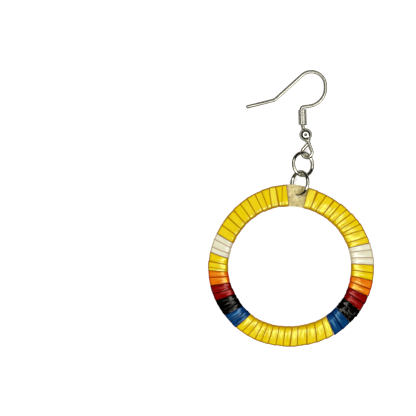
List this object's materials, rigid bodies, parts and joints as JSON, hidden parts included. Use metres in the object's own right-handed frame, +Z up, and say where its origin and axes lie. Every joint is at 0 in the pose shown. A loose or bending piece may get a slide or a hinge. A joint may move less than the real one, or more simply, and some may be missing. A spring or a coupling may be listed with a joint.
{
  "type": "quill-wound hoop earring",
  "caption": "Drop earring with a flat rawhide hoop wound in bands of dyed quill, hung by linked jump rings from a wire ear hook with coil and bead; lies flat.",
  "frame": {"origin": "bottom centre of the earring's box as it lies on a table", "axes": "+Y from the hoop towards the hook, +Z up from the table, +X to the right of the hoop's face"},
  "size_m": [0.0436, 0.0726, 0.0053],
  "materials": {
    "nickel_wire": "polished, warm grey",
    "rawhide": "dry, matt, speckled",
    "quill_yellow": "dyed quill, satin gloss",
    "quill_white": "natural quill, satin gloss",
    "quill_orange": "dyed quill, satin gloss",
    "quill_red": "dyed quill, satin gloss",
    "quill_black": "dyed quill, satin gloss",
    "quill_blue": "dyed quill, satin gloss"
  },
  "bodies": {
    "root": {"ear_hook": "nickel_wire", "coil_sleeve": "nickel_wire", "bead": "nickel_wire", "upper_jump_ring": "nickel_wire", "lower_jump_ring": "nickel_wire", "hoop_core": "rawhide", "quill_yellow_upper_left": "quill_yellow", "quill_white_left": "quill_white", "quill_yellow_left": "quill_yellow", "quill_orange_left": "quill_orange", "quill_red_left": "quill_red", "quill_black_left": "quill_black", "quill_blue_left": "quill_blue", "quill_yellow_bottom": "quill_yellow", "quill_blue_right": "quill_blue", "quill_black_right": "quill_black", "quill_red_right": "quill_red", "quill_orange_right": "quill_orange", "quill_yellow_right": "quill_yellow", "quill_white_right": "quill_white", "quill_yellow_upper_right": "quill_yellow"}
  },
  "joints": []
}
